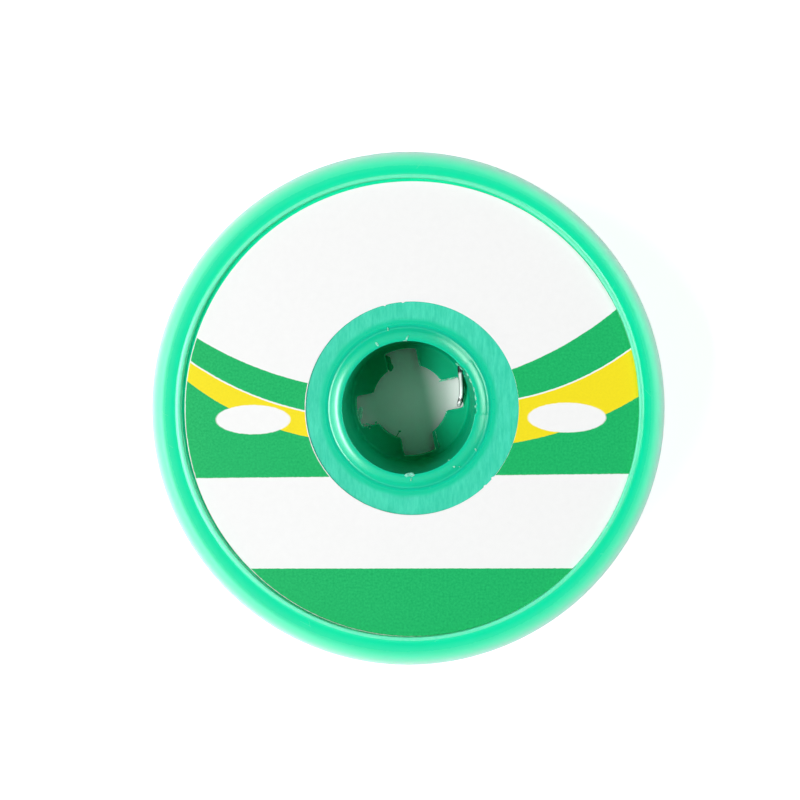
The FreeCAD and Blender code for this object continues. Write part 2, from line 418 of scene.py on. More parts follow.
def around_axis(net, place):
    """The place unrolled about the reel's axis: along the turn, out from the axis and up."""
    x, y, z = net.split(place)
    radius = net.off_axis(place)
    along = net.maths("MULTIPLY", net.maths("ARCTAN2", y, x), radius)
    return net.add("ShaderNodeCombineXYZ", {0: along, 1: radius, 2: z}).outputs[0]


def empty_net(owner):
    """The net of a new material or world, without nodes."""
    owner.use_nodes = True
    owner.node_tree.nodes.clear()
    return Net(owner.node_tree)


def new_material(name):
    """The net of a new material."""
    return empty_net(bpy.data.materials.new(name))


def painted_rim_sheen(net, place):
    """Mask of painted sheen on the crown, the pale light of its thin translucent edge, which starts
    outside the ridge and is weaker on the rim's side.
    """
    recess = net.vector("LENGTH", net.vector("SUBTRACT", net.flat(place), RECESS_CENTRE))
    early = net.remap(recess, 25.3 * MM, 26.7 * MM, to_high=0.1)
    reach = net.remap(net.off_axis(place), 25.8 * MM, 27.55 * MM)
    thinned = net.scaled(net.maths("POWER", reach, 3.0), 0.98, early)
    facing_up = net.maths("ABSOLUTE", net.split(net.normal())[2])
    return net.maths("MULTIPLY", thinned, net.remap(facing_up, 0.0, 0.55, 0.45, 1.0))


def worn_and_lit_ridge(net, place):
    """Mask of the ridge round a recess, on both outer faces of the reel, pale partly from wear and
    partly as painted highlight that also lightens the shade on its inner wall.
    """
    recess = net.vector("LENGTH", net.vector("SUBTRACT", net.flat(place), RECESS_CENTRE))
    half_height = TOP_Z / 2
    from_middle = net.gap(net.split(place)[2], half_height)
    at_face = net.remap(from_middle, half_height - 0.6 * MM, half_height - 0.4 * MM)
    near_ridge = net.remap(net.gap(recess, RIDGE_MIDDLE), 0.17 * MM, 0.29 * MM, 1.0, 0.0)
    return net.maths("MULTIPLY", at_face, near_ridge)


def gloss_plastic(colours):
    """Glossy, slightly translucent moulded plastic with a few handling marks, a painted sheen on the
    crowns and a ridge pale from wear and from painted highlight.
    """
    net = new_material("reel_gloss")
    place = net.object_place()
    radius = net.off_axis(place)
    ridge = worn_and_lit_ridge(net, place)
    outward = net.remap(radius, 12 * MM, 25 * MM)
    satin_crown = net.remap(radius, 25.8 * MM, 26.6 * MM)
    cloud = net.effect("Fine Grain", place, Scale=160.0, Contrast=1.2)
    fine = net.effect("Fine Grain", place, Scale=2600.0, Contrast=1.2)
    scratch = net.effect("Fine Scratches", place, Scale=420.0, Width=0.004, Amount=0.34)
    dust = net.effect("Scattered Specks", place, Scale=900.0, Size=0.16, Amount=0.012)
    body = net.mix(outward, rgba(colours.plastic), rgba(colours.rim))
    clouded = net.mix(net.maths("MULTIPLY", cloud, outward), body, rgba(colours.rim, share=0.93))
    # The ridge is pale partly from wear and partly as painted highlight; the crown gets painted sheen.
    ridge_wear_and_highlight = net.maths("MULTIPLY", ridge, net.scaled(fine, 0.14, 0.1))
    tint = net.mix(net.larger(painted_rim_sheen(net, place), ridge_wear_and_highlight), clouded, rgba(colours.sheen_and_wear_pale))
    marked = net.mix(net.scaled(scratch, 0.2), tint, rgba(colours.burr))
    worn = net.scaled(scratch, 0.3, 0.2)
    dulled = net.scaled(net.larger(satin_crown, net.scaled(ridge, 0.6)), 0.3, worn)
    flow = net.bump(cloud, 0.02 * MM, 0.5)
    net.surface({
        "Base Color": net.mix(net.scaled(dust, 0.5), marked, rgba(colours.burr)),
        "Roughness": net.scaled(fine, 0.08, dulled),
        "IOR": 1.5,
        "Subsurface Weight": 0.3,
        "Subsurface Radius": (0.15, 1.0, 0.6),
        "Subsurface Scale": 1.0 * MM,
        "Normal": net.bump(fine, 0.004 * MM, 0.5, flow),
    })


def bore_plastic(colours):
    """The same plastic inside the bore, painted darker for the shade down the bore, with a satin
    surface.
    """
    net = new_material("reel_bore_painted_shade")
    place = net.object_place()
    cloud = net.effect("Fine Grain", place, Scale=300.0, Contrast=1.6)
    fine = net.effect("Fine Grain", place, Scale=2600.0, Contrast=1.4)
    dust = net.effect("Scattered Specks", place, Scale=1400.0, Size=0.2, Amount=0.02)
    # The bore's darker colour is painted shade.
    tint = net.mix(cloud, rgba(colours.plastic_bore_shade, share=0.85), rgba(colours.plastic_bore_shade))
    net.surface({
        "Base Color": net.mix(net.scaled(dust, 0.5), tint, rgba(colours.plastic)),
        "Roughness": net.scaled(fine, 0.12, 0.5),
        "Specular IOR Level": 0.08,
        "Subsurface Weight": 0.12,
        "Subsurface Radius": (0.05, 1.0, 0.5),
        "Subsurface Scale": 1.0 * MM,
        "Normal": net.bump(fine, 0.006 * MM, 0.6),
    })


def matte_plastic(colours):
    """The recessed faces: parallel tool marks from the mould, which run along Y."""
    net = new_material("reel_matte_face")
    place = net.object_place()
    lines = net.effect("Fine Streaks", place, Across=(1.0, 0.16, 1.0), Scale=4200.0)
    patches = net.effect("Fine Streaks", place, Across=(1.0, 0.35, 1.0), Scale=700.0)
    fine = net.effect("Fine Grain", place, Scale=5200.0, Contrast=1.5)
    dust = net.effect("Scattered Specks", place, Scale=1100.0, Size=0.25, Amount=0.015)
    uneven_radius = net.scaled(patches, 0.5 * MM, net.off_axis(place))
    brushed = net.remap(uneven_radius, 9.5 * MM, 9.95 * MM)
    even = net.remap(net.scaled(patches, 0.6, lines), 0.62, 0.98)
    trough = [share * part for share, part in zip((0.2, 0.84, 0.78), colours.matte_face)]
    streaky = net.mix(even, rgba(trough), rgba(colours.matte_face))
    tint = net.mix(brushed, rgba(colours.plastic), streaky)
    ridged = net.bump(net.maths("MULTIPLY", even, brushed), 0.008 * MM, 0.6)
    net.surface({
        "Base Color": net.mix(dust, tint, rgba(colours.burr)),
        "Roughness": net.scaled(fine, 0.12, net.scaled(brushed, 0.2, 0.24)),
        "IOR": 1.5,
        "Subsurface Weight": 0.3,
        "Subsurface Radius": (0.15, 1.0, 0.6),
        "Subsurface Scale": 1.5 * MM,
        "Normal": net.bump(fine, 0.004 * MM, 0.5, ridged),
    })


def burr_plastic(colours):
    """Torn and whitened plastic, as on the burrs of the lip."""
    net = new_material("whitened_burr")
    fine = net.effect("Fine Grain", net.object_place(), Scale=6000.0, Contrast=2.5)
    net.surface({
        "Base Color": net.mix(fine, rgba(colours.burr), rgba(colours.plastic)),
        "Roughness": net.scaled(fine, 0.2, 0.35),
        "Subsurface Weight": 0.5,
        "Subsurface Radius": (0.5, 1.0, 0.8),
        "Subsurface Scale": 0.5 * MM,
        "Normal": net.bump(fine, 0.03 * MM, 0.6),
    })


PRINT_SOFTNESS = 0.06 * MM
OVAL_SOFTNESS = 0.08 * MM
FIELD_LOW_Y = -7.32 * MM
FIELD_SLOPE = 0.0095
FOOT_BAND_Y = -17.14 * MM

# The curved edges of the label's bands, each an arc to the left of the hub and an arc
# to the right of it, as (centre x, centre y, radius) in millimetres.
UPPER_EDGE = ((-2.34, 40.33, 38.66), (-2.34, 40.33, 38.66))
LINE_EDGE = ((-3.9, 33.06, 34.14), (6.16, 29.69, 29.23))
YELLOW_TOP = ((-3.9, 33.06, 34.3), (6.16, 29.69, 29.39))
YELLOW_LOW = ((-4.46, 27.39, 31.18), (5.57, 32.08, 36.3))

# The blank ovals, as (centre x, centre y, half width, half height) in millimetres.
OVALS = ((-16.61, -1.3, 3.98, 1.56), (16.93, -1.09, 4.19, 1.59))


def band_edge(net, place, arcs, side):
    """Mask of what is inside a band's edge. side is 0 to the left of the hub and 1 to the right."""
    centres = [(x * MM, y * MM, 0.0) for x, y, radius in arcs]
    extents = [(radius * MM, radius * MM, 1.0) for x, y, radius in arcs]
    mean_radius = sum(radius for x, y, radius in arcs) / 2 * MM
    return net.effect(
        "Round Mask",
        place,
        Centre=net.mix_vectors(side, *centres),
        Extent=net.mix_vectors(side, *extents),
        Sharpness=mean_radius / PRINT_SOFTNESS,
    )


def oval_mask(net, place, x, y, half_width, half_height):
    """Mask of a blank oval in the print."""
    return net.effect(
        "Round Mask",
        place,
        Centre=(x * MM, y * MM, 0.0),
        Extent=(half_width * MM, half_height * MM, 1.0),
        Sharpness=half_height * MM / OVAL_SOFTNESS,
    )


def ring_mask(net, place, radius, shift):
    """Mask of what is inside one of the label's round edges, which is shifted to the right."""
    return net.effect(
        "Round Mask",
        place,
        Centre=LABEL_CENTRE + Vector((shift, 0.0, 0.0)),
        Extent=(radius, radius, 1.0),
        Sharpness=radius / PRINT_SOFTNESS,
    )


def printed_bands(net, place, colours, paper):
    """Plain green and yellow bands and two blank ovals on white paper."""
    x, y, z = net.split(place)
    side = net.maths("GREATER_THAN", x, 0.0)
    upper_edge, line_edge, yellow_top, yellow_low = [
        band_edge(net, place, arcs, side)
        for arcs in (UPPER_EDGE, LINE_EDGE, YELLOW_TOP, YELLOW_LOW)
    ]
    above_field = net.maths("SUBTRACT", net.scaled(x, -FIELD_SLOPE, y), FIELD_LOW_Y)
    field = net.maths("MULTIPLY_ADD", above_field, 1 / PRINT_SOFTNESS, 0.5, clamp=True)
    below_foot = net.maths("SUBTRACT", FOOT_BAND_Y, y)
    foot = net.maths("MULTIPLY_ADD", below_foot, 1 / PRINT_SOFTNESS, 0.5, clamp=True)
    ovals = [oval_mask(net, place, *oval) for oval in OVALS]
    grain = net.effect("Fine Grain", net.object_place(), Scale=4200.0, Contrast=2.2)
    pale_green = [min(1.0, 1.12 * part + 0.012) for part in colours.print_green]
    green = net.mix(grain, rgba(colours.print_green, share=0.84), rgba(pale_green))
    yellow = net.mix(grain, rgba(colours.print_yellow, share=0.94), rgba(colours.print_yellow))
    tone = net.mix(yellow_low, green, yellow)
    tone = net.mix(yellow_top, tone, paper)
    tone = net.mix(line_edge, tone, green)
    tone = net.mix(upper_edge, tone, paper)
    tone = net.mix(field, paper, tone)
    tone = net.mix(foot, tone, green)
    return net.mix(net.larger(*ovals), tone, paper)


def printed_label(colours, margin):
    """Printed sticker, with bare paper along its edges and a few specks of ink."""
    net = new_material("printed_label")
    place = net.object_place()
    ragged = net.add("ShaderNodeTexNoise", {"Vector": place, "Scale": 2500.0, "Detail": 2.0})
    centred = net.vector("SUBTRACT", ragged.outputs["Color"], (0.5, 0.5, 0.5))
    printed = net.vector("MULTIPLY_ADD", centred, (0.09 * MM, 0.09 * MM, 0.0), place)
    paper_grain = net.effect("Fine Grain", place, Scale=1500.0, Contrast=1.5)
    paper = net.mix(paper_grain, rgba(colours.paper, share=0.97), rgba(colours.paper))
    tone = printed_bands(net, printed, colours, paper)
    tone = net.mix(ring_mask(net, printed, LABEL_RADIUS - margin, margin), paper, tone)
    tone = net.mix(ring_mask(net, printed, LABEL_HOLE + margin, -margin), tone, paper)
    ink = net.effect("Scattered Specks", place, Scale=700.0, Size=0.1, Amount=0.004)
    scratch = net.effect("Fine Scratches", place, Scale=180.0, Width=0.003, Amount=0.38)
    net.surface({
        "Base Color": net.mix(ink, tone, rgba(colours.ink)),
        "Roughness": net.scaled(scratch, 0.15, 0.38),
        "Specular IOR Level": 0.2,
        "Normal": net.bump(paper_grain, 0.004 * MM, 0.35),
    })


def bare_paper(colours):
    """The label's cut edge: bare white stock."""
    net = new_material("label_cut_edge")
    grain = net.effect("Fine Grain", net.object_place(), Scale=8000.0, Contrast=2.0)
    net.surface({
        "Base Color": net.mix(grain, rgba(colours.paper, share=0.8), rgba(colours.paper)),
        "Roughness": net.scaled(grain, 0.1, 0.7),
    })


def tail_painted_shade(net, place, stain):
    """Mask of painted shade on the tail's flanks, at the hole in the wall and just before the tip."""
    facing = net.vector("DOT_PRODUCT", net.normal(), (-0.42, -0.1, 0.9))
    flank = net.remap(facing, 0.45, 0.78, 1.0, 0.0)
    uneven = net.scaled(stain, 0.4 * MM, net.split(place)[1])
    at_hole = net.remap(uneven, 3.5 * MM, 3.75 * MM)
    near_tip = net.remap(net.gap(uneven, 0.5 * MM), 0.16 * MM, 0.34 * MM, 0.85, 0.0)
    return net.larger(flank, at_hole, near_tip)


def solder_metal(name, colours, wound):
    """Drawn solder wire, whose streaks follow the winding, or the start tail along Y.

    The winding is bright all round. The tail is made lighter, as a painted highlight along its top, and
    has painted shade on its flanks, at the hole in the wall and just before the tip.
    """
    net = new_material(name)
    place = net.object_place()
    if wound:
        streak_place = around_axis(net, place)
        across = (0.04, 1.0, 1.0)
    else:
        streak_place = place
        across = (1.0, 0.08, 1.0)
    streaks = net.effect("Fine Streaks", streak_place, Across=across, Scale=9000.0)
    stain = net.effect("Fine Grain", place, Scale=700.0, Contrast=2.4)
    scuff = net.effect("Fine Scratches", place, Scale=500.0, Width=0.01, Amount=0.45)
    # The tail's solder is made lighter than the winding's: a painted highlight.
    bright = colours.solder if wound else [min(0.95, 1.18 * part) for part in colours.solder]
    dull = rgba(bright, share=0.72)
    tone = net.mix(stain, dull, rgba(bright))
    if not wound:
        # Painted shade on the tail's flanks, at the hole and before the tip.
        tone = net.mix(tail_painted_shade(net, place, stain), tone, rgba(colours.tail_shade_colour))
    rough = net.scaled(stain, -0.12, 0.36 if wound else 0.46)
    net.surface({
        "Base Color": net.mix(net.scaled(scuff, 0.4), tone, dull),
        "Metallic": 1.0 if wound else 0.6,
        "Roughness": net.scaled(streaks, 0.12, rough),
        "Normal": net.bump(streaks, 0.01 * MM, 0.45),
    })


def amber_flux(colours):
    """Brittle amber rosin with small bubbles."""
    net = new_material("amber_flux")
    place = net.object_place()
    grain = net.effect("Fine Grain", place, Scale=9000.0, Contrast=2.0)
    bubbles = net.effect("Scattered Specks", place, Scale=16000.0, Size=0.4, Amount=0.3)
    tone = net.mix(grain, rgba(colours.flux, share=0.6), rgba(colours.flux))
    net.surface({
        "Base Color": net.mix(net.scaled(bubbles, 0.3), tone, rgba(colours.bubble)),
        "Roughness": net.scaled(grain, 0.15, 0.15),
        "Subsurface Weight": 0.4,
        "Subsurface Radius": (1.0, 0.5, 0.15),
        "Subsurface Scale": 0.2 * MM,
        "Normal": net.bump(grain, 0.01 * MM, 0.5),
    })


def clear_tape(colours):
    """Thin yellowish clear tape with patches where it has let go."""
    net = new_material("clear_tape")
    place = net.object_place()
    patches = net.effect("Fine Grain", place, Scale=260.0, Contrast=1.6)
    scratch = net.effect("Fine Scratches", place, Scale=260.0, Width=0.004, Amount=0.4)
    milky = net.scaled(patches, 0.12, 0.44)
    net.surface({
        "Base Color": net.mix(patches, rgba(colours.tape), rgba(colours.tape, share=0.9)),
        "Roughness": net.scaled(scratch, 0.3, 0.12),
        "Alpha": net.scaled(scratch, 0.2, milky),
        "Normal": net.bump(patches, 0.01 * MM, 0.3),
    })


def add_piece(name, bm, materials, nodes, sharp_angle=35.0):
    """Makes a piece of a bmesh: it rides on the reel and stands for its CAD nodes."""
    bmesh.ops.recalc_face_normals(bm, faces=bm.faces)
    mesh = bpy.data.meshes.new(name)
    bm.to_mesh(mesh)
    bm.free()
    for material in materials:
        mesh.materials.append(bpy.data.materials[material])
    mesh.shade_smooth()
    mesh.set_sharp_from_angle(angle=math.radians(sharp_angle))
    piece = bpy.data.objects.new(name, mesh)
    bpy.context.scene.collection.objects.link(piece)
    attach(piece, "root")
    if nodes:
        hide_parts(*nodes)
    return piece


def radius_of(point):
    """How far a point is from the reel's axis."""
    return math.hypot(point.x, point.y)


def angle_of(point):
    """The angle of a point about the reel's axis, from +X."""
    return math.atan2(point.y, point.x)


def scale_out(vert, scale):
    """Moves a vertex level away from the reel's axis, or towards it."""
    vert.co.x *= scale
    vert.co.y *= scale


def smooth_step(value, low, high):
    """0 below low, 1 above high and a soft rise between them."""
    share = min(1.0, max(0.0, (value - low) / (high - low)))
    return share * share * (3 - 2 * share)


def spin(bm, geom, angle, steps, **settings):
    """Spins a shape about the Z axis, as new faces or as whole copies."""
    bmesh.ops.spin(
        bm, geom=geom, cent=(0, 0, 0), axis=(0, 0, 1), angle=angle, steps=steps, **settings
    )


def bevel(bm, geom, offset, affect, segments):
    """Rounds vertices or edges off, and returns the new faces."""
    made = bmesh.ops.bevel(
        bm,
        geom=geom,
        offset=offset,
        offset_type="OFFSET",
        affect=affect,
        segments=segments,
        profile=0.5,
        material=-1,
        clamp_overlap=affect == "EDGES",
    )
    return made["faces"]


def turned(corners):
    """A ring turned about the Z axis from corners of (radius, height, rounding).

    One sector is spun step by step, and its copies then close the ring.
    """
    bm = bmesh.new()
    verts = [bm.verts.new((radius, 0.0, height)) for radius, height, rounding in corners]
    for start, end in zip(verts, verts[1:] + verts[:1]):
        bm.edges.new((start, end))
    for vert, (radius, height, rounding) in zip(verts, corners):
        if rounding:
            bevel(bm, [vert], rounding, "VERTICES", 5)
    sector = FULL_TURN / SECTORS
    spin(bm, bm.verts[:] + bm.edges[:], sector, ROUND_STEPS // SECTORS)
    shape = bm.verts[:] + bm.edges[:] + bm.faces[:]
    spin(bm, shape, sector * (SECTORS - 1), SECTORS - 1, use_duplicate=True)
    bmesh.ops.remove_doubles(bm, verts=bm.verts, dist=TINY)
    bmesh.ops.recalc_face_normals(bm, faces=bm.faces)
    return bm


def rim_corners(sizes, floor, top, inner, side):
    """A flange's corners from its recessed face, over the rim, to its inner face.

    side is 1 where the recessed face looks up and -1 where it looks down. A ridge
    stands round the recess, then comes a shallow valley, and then the rounded crown,
    whose two corners follow an ellipse. Their roundings stop just short of each other.
    """
    share = 2 - math.sqrt(2)
    rest = math.sqrt(2) - 1
    crown = sizes.flange_radius - share * sizes.crown_width
    low = top - side * share * sizes.crown_drop
    slant = math.hypot(sizes.flange_radius - crown, top - low) / 2
    ridge = sizes.recess_radius + sizes.ridge_width
    valley_start = ridge + sizes.ridge_slope
    valley_z = top - side * sizes.valley_drop
    return [
        (sizes.recess_radius, floor, sizes.ridge_round),
        (sizes.recess_radius, top, sizes.ridge_round),
        (ridge, top, sizes.ridge_round),
        (valley_start, valley_z, sizes.valley_round),
        (valley_start + sizes.valley_width, valley_z, 1.5 * sizes.valley_round),
        (crown, top, 0.9 * slant),
        (sizes.flange_radius, low, 0.95 * rest * sizes.crown_drop),
        (sizes.flange_radius, inner, sizes.back_round),
    ]


def drum_corners(sizes, inner):
    """Corners up the drum, from the lower flange's inner face, and round the lip to the bore."""
    lip_low = FLOOR_Z - 0.02 * MM
    lip_edge = FLOOR_Z + 0.01 * MM
    return [
        (sizes.drum_radius, inner, 0.2 * MM),
        (sizes.drum_radius, INNER_Z, 0.1 * MM),
        (sizes.spigot_radius, INNER_Z, 0.0),
        (sizes.spigot_radius, lip_low, 0.0),
        (sizes.lip_radius, lip_low, 0.0),
        (sizes.lip_radius, lip_edge, 0.0),
        (sizes.lip_foot, lip_edge, 0.12 * MM),
        (sizes.lip_crest, LIP_Z - 0.03 * MM, 0.48 * MM),
        (sizes.bore_radius, LIP_Z, 0.05 * MM),
    ]


def bore_corners(sizes):
    """Close rows down the bore's wall beside the wire hole. The wall narrows towards the web."""
    rows = 44
    corners = []
    for i in range(rows + 1):
        height = HOLE_HIGH - (HOLE_HIGH - HOLE_LOW) * i / rows
        taper = max(0.0, 1 - (height - sizes.web_top) / sizes.taper_height)
        corners.append((sizes.bore_radius - sizes.bore_taper * taper, height, 0.0))
    return corners


def web_corners(sizes, recess_z):
    """Corners round the web and down to the foot, and out to the lower recessed face."""
    web_low = sizes.web_top - sizes.web_thickness
    foot = HUB_LOW.z + 0.1 * MM
    return [
        (sizes.bore_radius - sizes.bore_taper, sizes.web_top, 0.35 * MM),
        (sizes.web_hole_radius, sizes.web_top, 0.0),
        (sizes.web_hole_radius, web_low, 0.0),
        (sizes.bore_radius, web_low, 0.0),
        (sizes.bore_radius, foot, 0.15 * MM),
        (sizes.spigot_radius, foot, 0.3 * MM),
        (sizes.spigot_radius, recess_z, 0.0),
        (sizes.matte_start, recess_z, 0.0),
        (sizes.matte_end, recess_z, 0.0),
    ]


def shift_recess(bm, sizes, low, high):
    """Sets the ridge between two heights slightly off the axis, and leaves the crown round it."""
    foot = sizes.recess_radius - sizes.ridge_round - TINY
    for vert in bm.verts:
        radius = radius_of(vert.co)
        if radius > foot and low - TINY < vert.co.z < high + TINY:
            vert.co += RECESS_CENTRE * (1 - smooth_step(radius, SHIFTED_UNTIL, UNMOVED_FROM))


def mark_matte_faces(bm, sizes, height):
    """Gives the brushed part of a flat recessed face its own material slot."""
    flat = 0.01 * MM
    for face in bm.faces:
        centre = face.calc_center_median()
        brushed = sizes.matte_start < radius_of(centre) < sizes.matte_end
        if brushed and abs(centre.z - height) < flat:
            face.material_index = 1


def mark_bore_faces(bm, sizes, bevels):
    """Gives the bore's wall and the web their own material slot, which paints them darker as shade, but
    not the web's bevels.
    """
    glossy_edge = LIP_Z - 0.1 * MM
    for face in bm.faces:
        centre = face.calc_center_median()
        inside = radius_of(centre) < sizes.bore_radius + TINY and centre.z < glossy_edge
        if inside and face not in bevels:
            face.material_index = 2


def notch_angles(sizes):
    """Half angles of a drive notch at its outer end and where it meets the round hole."""
    half = sizes.notch_width / 2
    return math.asin(half / sizes.notch_reach), math.asin(half / sizes.web_hole_radius)


def hole_reach(sizes, angle):
    """Radius of the web's hole at an angle: a round hole with drive notches."""
    end_half, mouth_half = notch_angles(sizes)
    pitch = FULL_TURN / sizes.notch_count
    off = abs((angle - sizes.notch_turn + pitch / 2) % pitch - pitch / 2)
    if off <= end_half:
        return sizes.notch_reach
    if off < mouth_half:
        return sizes.notch_width / 2 / math.sin(off)
    return sizes.web_hole_radius


def line_up_with_notches(bm, sizes):
    """Turns the nearest rows of vertices onto the corners of the drive notches."""
    step = FULL_TURN / ROUND_STEPS
    rows = [[] for _ in range(ROUND_STEPS)]
    for vert in bm.verts:
        rows[round(angle_of(vert.co) / step) % ROUND_STEPS].append(vert)
    for i in range(sizes.notch_count):
        middle = sizes.notch_turn + i * FULL_TURN / sizes.notch_count
        for half in notch_angles(sizes):
            for corner in (middle - half, middle + half):
                row = round(corner / step)
                turn = Matrix.Rotation(corner - row * step, 3, "Z")
                bmesh.ops.rotate(bm, verts=rows[row % ROUND_STEPS], cent=(0, 0, 0), matrix=turn)


def cut_web_hole(bm, sizes):
    """Moves the round hole's two rings of vertices out to the notched outline.

    The outline's edges are then rounded off, and the new faces are returned.
    """
    line_up_with_notches(bm, sizes)
    near = 2 * TINY
    ring = {vert for vert in bm.verts if abs(radius_of(vert.co) - sizes.web_hole_radius) < near}
    for vert in ring:
        scale_out(vert, hole_reach(sizes, angle_of(vert.co)) / radius_of(vert.co))
    level_edges = []
    for edge in bm.edges:
        start, end = edge.verts
        if start in ring and end in ring and abs(start.co.z - end.co.z) < near:
            level_edges.append(edge)
    return set(bevel(bm, level_edges, 0.08 * MM, "EDGES", 3))


def tear_wire_hole(bm):
    """Sinks the torn hole that the start tail comes through into the bore's wall."""
    half_width = 0.62 * MM
    half_height = 1.7 * MM
    wall_depth = 0.4 * MM
    slant = Vector((0.25, 1.0, 0.1)) * MM
    outward = Vector((WIRE_HOLE.x, WIRE_HOLE.y, 0)).normalized()
    sideways = Vector((-outward.y, outward.x, 0))
    torn = []
    for face in bm.faces:
        middle = face.calc_center_median()
        away = middle - WIRE_HOLE
        ragged = 1 + 0.3 * noise.noise(middle * 2400)
        share = math.hypot(away.dot(sideways) / half_width, away.z / half_height)
        if abs(away.dot(outward)) < wall_depth and share < ragged:
            torn.append(face)
    grown = bmesh.ops.extrude_face_region(bm, geom=torn)["geom"]
    bmesh.ops.delete(bm, geom=torn, context="FACES")
    for vert in [item for item in grown if isinstance(item, bmesh.types.BMVert)]:
        vert.co += slant * (0.75 + 0.25 * noise.noise(vert.co * 1500))


def wear_lip(bm, sizes):
    """Spreads the lip a little on one stretch and cuts its inner edge back raggedly.

    starts and ends are the degrees over which the worn stretch fades in and out.
    """
    starts = (-6.0, -4.0)
    ends = (36.5, 38.0)
    lip_low = LIP_Z - 0.3 * MM
    lip_out = sizes.lip_foot - 0.05 * MM
    edge_width = 0.5 * MM
    spread = 0.07 * MM
    cut_back = 0.08 * MM
    cut_down = 0.05 * MM
    for vert in bm.verts:
        radius = radius_of(vert.co)
        if vert.co.z < lip_low or radius > lip_out:
            continue
        turn = math.degrees(angle_of(vert.co))
        worn = smooth_step(turn, *starts) * (1 - smooth_step(turn, *ends))
        near_edge = max(0.0, 1 - (radius - sizes.bore_radius) / edge_width)
        cut = worn * near_edge * (0.7 + 0.6 * noise.noise(vert.co * 2600))
        scale_out(vert, 1 + (worn * spread + cut * cut_back) / radius)
        vert.co.z -= cut * cut_down


class SOLDERREEL_OT_lower_moulding(bpy.types.Operator):
    """Build the hub with its lip, keyed web and lower flange"""

    bl_idname = "solderreel.lower_moulding"
    bl_label = "Lower Moulding"

    def execute(self, context):
        sizes = context.scene.reel_sizes
        recess_z = TOP_Z - FLOOR_Z
        inner_z = TOP_Z - INNER_Z
        bm = turned(
            rim_corners(sizes, recess_z, 0.0, inner_z, -1)
            + drum_corners(sizes, inner_z)
            + bore_corners(sizes)
            + web_corners(sizes, recess_z)
        )
        bevels = cut_web_hole(bm, sizes)
        mark_matte_faces(bm, sizes, recess_z)
        mark_bore_faces(bm, sizes, bevels)
        tear_wire_hole(bm)
        wear_lip(bm, sizes)
        shift_recess(bm, sizes, 0.0, recess_z)
        materials = ["reel_gloss", "reel_matte_face", "reel_bore_painted_shade"]
        add_piece("lower_moulding", bm, materials, ["hub_and_lower_flange"])
        return {"FINISHED"}


class SOLDERREEL_OT_upper_flange(bpy.types.Operator):
    """Build the upper flange, which sits under the hub's lip"""

    bl_idname = "solderreel.upper_flange"
    bl_label = "Upper Flange"

    def execute(self, context):
        sizes = context.scene.reel_sizes
        hole = sizes.spigot_radius + sizes.spigot_gap
        corners = rim_corners(sizes, FLOOR_Z, TOP_Z, INNER_Z, 1) + [
            (hole, INNER_Z, 0.0),
            (hole, FLOOR_Z, 0.05 * MM),
            (sizes.matte_start, FLOOR_Z, 0.0),
            (sizes.matte_end, FLOOR_Z, 0.0),
        ]
        bm = turned(corners)
        shift_recess(bm, sizes, FLOOR_Z, TOP_Z)
        mark_matte_faces(bm, sizes, FLOOR_Z)
        materials = ["reel_gloss", "reel_matte_face"]
        add_piece("upper_moulding", bm, materials, ["upper_flange"])
        return {"FINISHED"}


# Small nicks in the edge of the label's hole, as (angle in degrees, depth in millimetres).
LABEL_NICKS = ((95.0, 0.16), (105.0, 0.14), (-41.0, 0.2), (-47.0, 0.16))
NICK_HALF_TURN = 0.9


def nick_depth(turn):
    """How deep the edge of the label's hole is nicked at an angle in degrees."""
    depths = [depth * (1 - abs(turn - middle) / NICK_HALF_TURN) for middle, depth in LABEL_NICKS]
    return max(0.0, *depths) * MM


def lean_on_ridge(vert, sizes):
    """Holds the label back at the ridge round the recess, and bends it up the ridge's foot."""
    wall = sizes.recess_radius - 0.02 * MM
    away = Vector((vert.co.x, vert.co.y, 0)) - RECESS_CENTRE
    if away.length > wall:
        vert.co -= away * (1 - wall / away.length)
    climb = min(away.length, wall) - (sizes.recess_radius - sizes.ridge_round)
    if climb > 0:
        bend = min(climb, 0.9 * sizes.ridge_round)
        vert.co.z += sizes.ridge_round - math.sqrt(sizes.ridge_round ** 2 - bend ** 2)


class SOLDERREEL_OT_label(bpy.types.Operator):
    """Build the ring label, slightly off centre and lifted at its edges"""

    bl_idname = "solderreel.label"
    bl_label = "Label"

    def execute(self, context):
        reel = context.scene.reel_sizes
        sizes = context.scene.label_sizes
        low = FLOOR_Z + sizes.lift
        high = low + sizes.thickness
        hole_edge = LABEL_HOLE + 0.01 * MM
        lifted_width = 0.8 * MM
        rows = 14
        radii = [LABEL_RADIUS + (LABEL_HOLE - LABEL_RADIUS) * i / rows for i in range(rows + 1)]
        top_row = [(radius, high, 0.0) for radius in radii]
        low_row = [(radius, low, 0.0) for radius in reversed(radii)]
        bm = turned(top_row + low_row)
        for vert in bm.verts:
            radius = radius_of(vert.co)
            if radius < hole_edge:
                scale_out(vert, 1 - nick_depth(math.degrees(angle_of(vert.co))) / radius)
            vert.co.x += LABEL_CENTRE.x
            vert.co.y += LABEL_CENTRE.y
            vert.co.z += sizes.waviness * (1 + noise.noise(vert.co * 260))
            vert.co.z += sizes.hole_lift * max(0.0, 1 - (radius - LABEL_HOLE) / lifted_width)
            lean_on_ridge(vert, reel)
        for face in bm.faces:
            face.material_index = 1 if abs(face.normal.z) < 0.5 else 0
        add_piece("label", bm, ["printed_label", "label_cut_edge"], ["front_label"])
        return {"FINISHED"}


def top_turn_height(sizes):
    """Height of the wire's middle in the top turn."""
    return INNER_Z - sizes.top_gap - sizes.wire_diameter / 2


